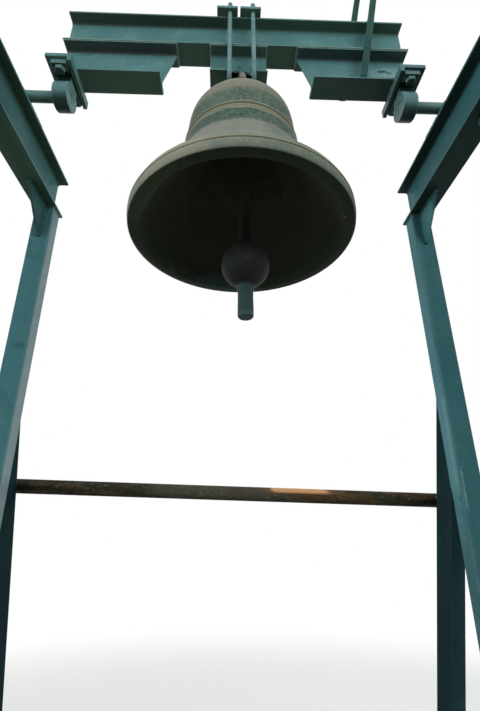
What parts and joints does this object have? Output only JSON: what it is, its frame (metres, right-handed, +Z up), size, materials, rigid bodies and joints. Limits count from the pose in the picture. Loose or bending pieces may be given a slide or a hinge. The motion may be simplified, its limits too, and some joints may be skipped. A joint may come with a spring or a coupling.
{
  "type": "bell hung in a steel bell frame",
  "caption": "Bronze bell with a free clapper, hung by U-bolts under a steel beam headstock that swings on shafts between two braced, painted steel side frames.",
  "frame": {"origin": "on the floor, midway between the side frames, under the bell's axis", "axes": "+X along the swing axis to the viewer's right, +Y away from the viewer, +Z up"},
  "size_m": [1.67, 2.202, 3.895],
  "materials": {
    "frame_paint": "satin",
    "headstock_paint": "satin",
    "bearing_paint": "satin",
    "shaft_paint": "satin",
    "hanger_steel": "satin",
    "rusty_tube": "matte",
    "bell_bronze": "satin",
    "clapper_iron": "matte"
  },
  "bodies": {
    "frame": {"left_rail": "frame_paint", "right_rail": "frame_paint", "left_front_post": "frame_paint", "left_rear_post": "frame_paint", "right_front_post": "frame_paint", "right_rear_post": "frame_paint", "left_front_gusset": "frame_paint", "left_rear_gusset": "frame_paint", "right_front_gusset": "frame_paint", "right_rear_gusset": "frame_paint", "left_front_strut": "frame_paint", "left_rear_strut": "frame_paint", "right_front_strut": "frame_paint", "right_rear_strut": "frame_paint", "left_front_feet": "frame_paint", "left_rear_feet": "frame_paint", "right_front_feet": "frame_paint", "right_rear_feet": "frame_paint", "tie_tube": "rusty_tube", "left_shaft_seat": "bearing_paint", "right_shaft_seat": "bearing_paint", "left_shaft": "shaft_paint", "right_shaft": "shaft_paint"},
    "bell": {"upper_beam": "headstock_paint", "left_block": "headstock_paint", "centre_block": "headstock_paint", "right_block": "headstock_paint", "left_bracket": "headstock_paint", "right_bracket": "headstock_paint", "left_boss": "bearing_paint", "right_boss": "bearing_paint", "left_clamp_plate": "headstock_paint", "right_clamp_plate": "headstock_paint", "left_hanger": "hanger_steel", "right_hanger": "hanger_steel", "front_lever_bar": "headstock_paint", "rear_lever_bar": "headstock_paint", "bell": "bell_bronze", "bell_crown": "bell_bronze", "clapper_staple": "clapper_iron"},
    "clapper": {"clapper": "clapper_iron"}
  },
  "joints": [
    {"name": "bell_swing", "type": "hinge", "parent": "frame", "child": "bell", "pos_m": [0, 0, 3.01], "axis": [1, 0, 0], "range_deg": [-60, 60]},
    {"name": "clapper_swing", "type": "hinge", "parent": "bell", "child": "clapper", "pos_m": [0.027, 0, 2.859], "axis": [1, 0, 0], "range_deg": [-27.5, 27.5]}
  ]
}
